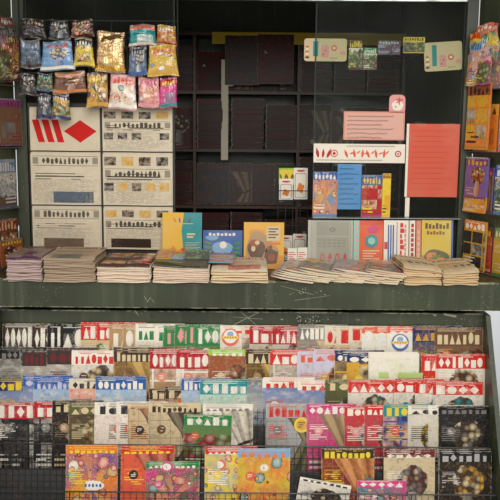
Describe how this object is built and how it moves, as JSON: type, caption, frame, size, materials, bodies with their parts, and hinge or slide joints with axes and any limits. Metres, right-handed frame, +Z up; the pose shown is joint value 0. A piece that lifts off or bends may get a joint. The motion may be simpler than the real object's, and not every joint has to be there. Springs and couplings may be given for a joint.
{
  "type": "newspaper kiosk",
  "caption": "Street kiosk of green sheet steel with a serving hatch, counter, stepped magazine rack, display wings and a canopy roof, stocked with papers and magazines.",
  "frame": {"origin": "on the ground under the middle of the roof's plan", "axes": "+Z up, -Y out of the serving hatch towards the customer, +X to the customer's right"},
  "size_m": [2.72, 2.7, 2.84],
  "materials": {
    "green_paint": "dark bottle green paint on sheet steel, satin, chipped and scuffed",
    "soffit_paint": "off-white paint, matt",
    "roof_paint": "weathered green paint, matt",
    "dark_steel": "near-black paint, worn",
    "black_wire": "black plastic-dipped wire",
    "aluminium_track": "satin anodised",
    "clear_glass": "clear, lightly dusty",
    "magazine_paper": "glossy printed covers over matt page edges",
    "newsprint": "matt newsprint",
    "card_sheet": "matt coloured card",
    "plastic_film": "glossy printed film",
    "shelf_wood": "dark laminated board",
    "floor_rubber": "ribbed black sheet"
  },
  "bodies": {
    "root": {"back_wall": "green_paint", "bag_rack": "black_wire", "book_ledge": "aluminium_track", "cabinet_front": "green_paint", "cabinet_top": "green_paint", "card_rack": "black_wire", "ceiling": "soffit_paint", "corner_posts": "green_paint", "counter_brackets": "dark_steel", "counter_fascia": "green_paint", "counter_piles": "newsprint", "counter_top": "green_paint", "display_wings": "green_paint", "door_frame": "green_paint", "door_handle": "dark_steel", "floor": "floor_rubber", "front_wall": "green_paint", "guide_books": "magazine_paper", "hanging_bags": "plastic_film", "hanging_packets": "plastic_film", "header_beam": "green_paint", "loose_magazines": "magazine_paper", "magazines_tier_1": "magazine_paper", "magazines_tier_2": "magazine_paper", "magazines_tier_3": "magazine_paper", "magazines_tier_4": "magazine_paper", "magazines_tier_5": "magazine_paper", "newspaper_board": "dark_steel", "newspapers": "newsprint", "pane_sheets": "card_sheet", "pane_tracks": "aluminium_track", "plinth": "dark_steel", "rack_cheeks": "green_paint", "rack_trays": "dark_steel", "rack_wire_fronts": "black_wire", "roof_cover": "roof_paint", "roof_deck": "roof_paint", "roof_fascia": "green_paint", "roof_joists": "dark_steel", "shelf_boards": "shelf_wood", "shelf_stock": "magazine_paper", "shelf_strips": "card_sheet", "shelf_uprights": "shelf_wood", "side_door": "green_paint", "side_wall_left": "green_paint", "side_wall_over_door": "green_paint", "side_wall_right": "green_paint", "sliding_panes": "clear_glass", "standing_books": "magazine_paper", "vendor_shelf": "green_paint", "wing_hinges": "dark_steel", "wing_ledges": "dark_steel", "wing_stock": "magazine_paper"}
  },
  "joints": []
}
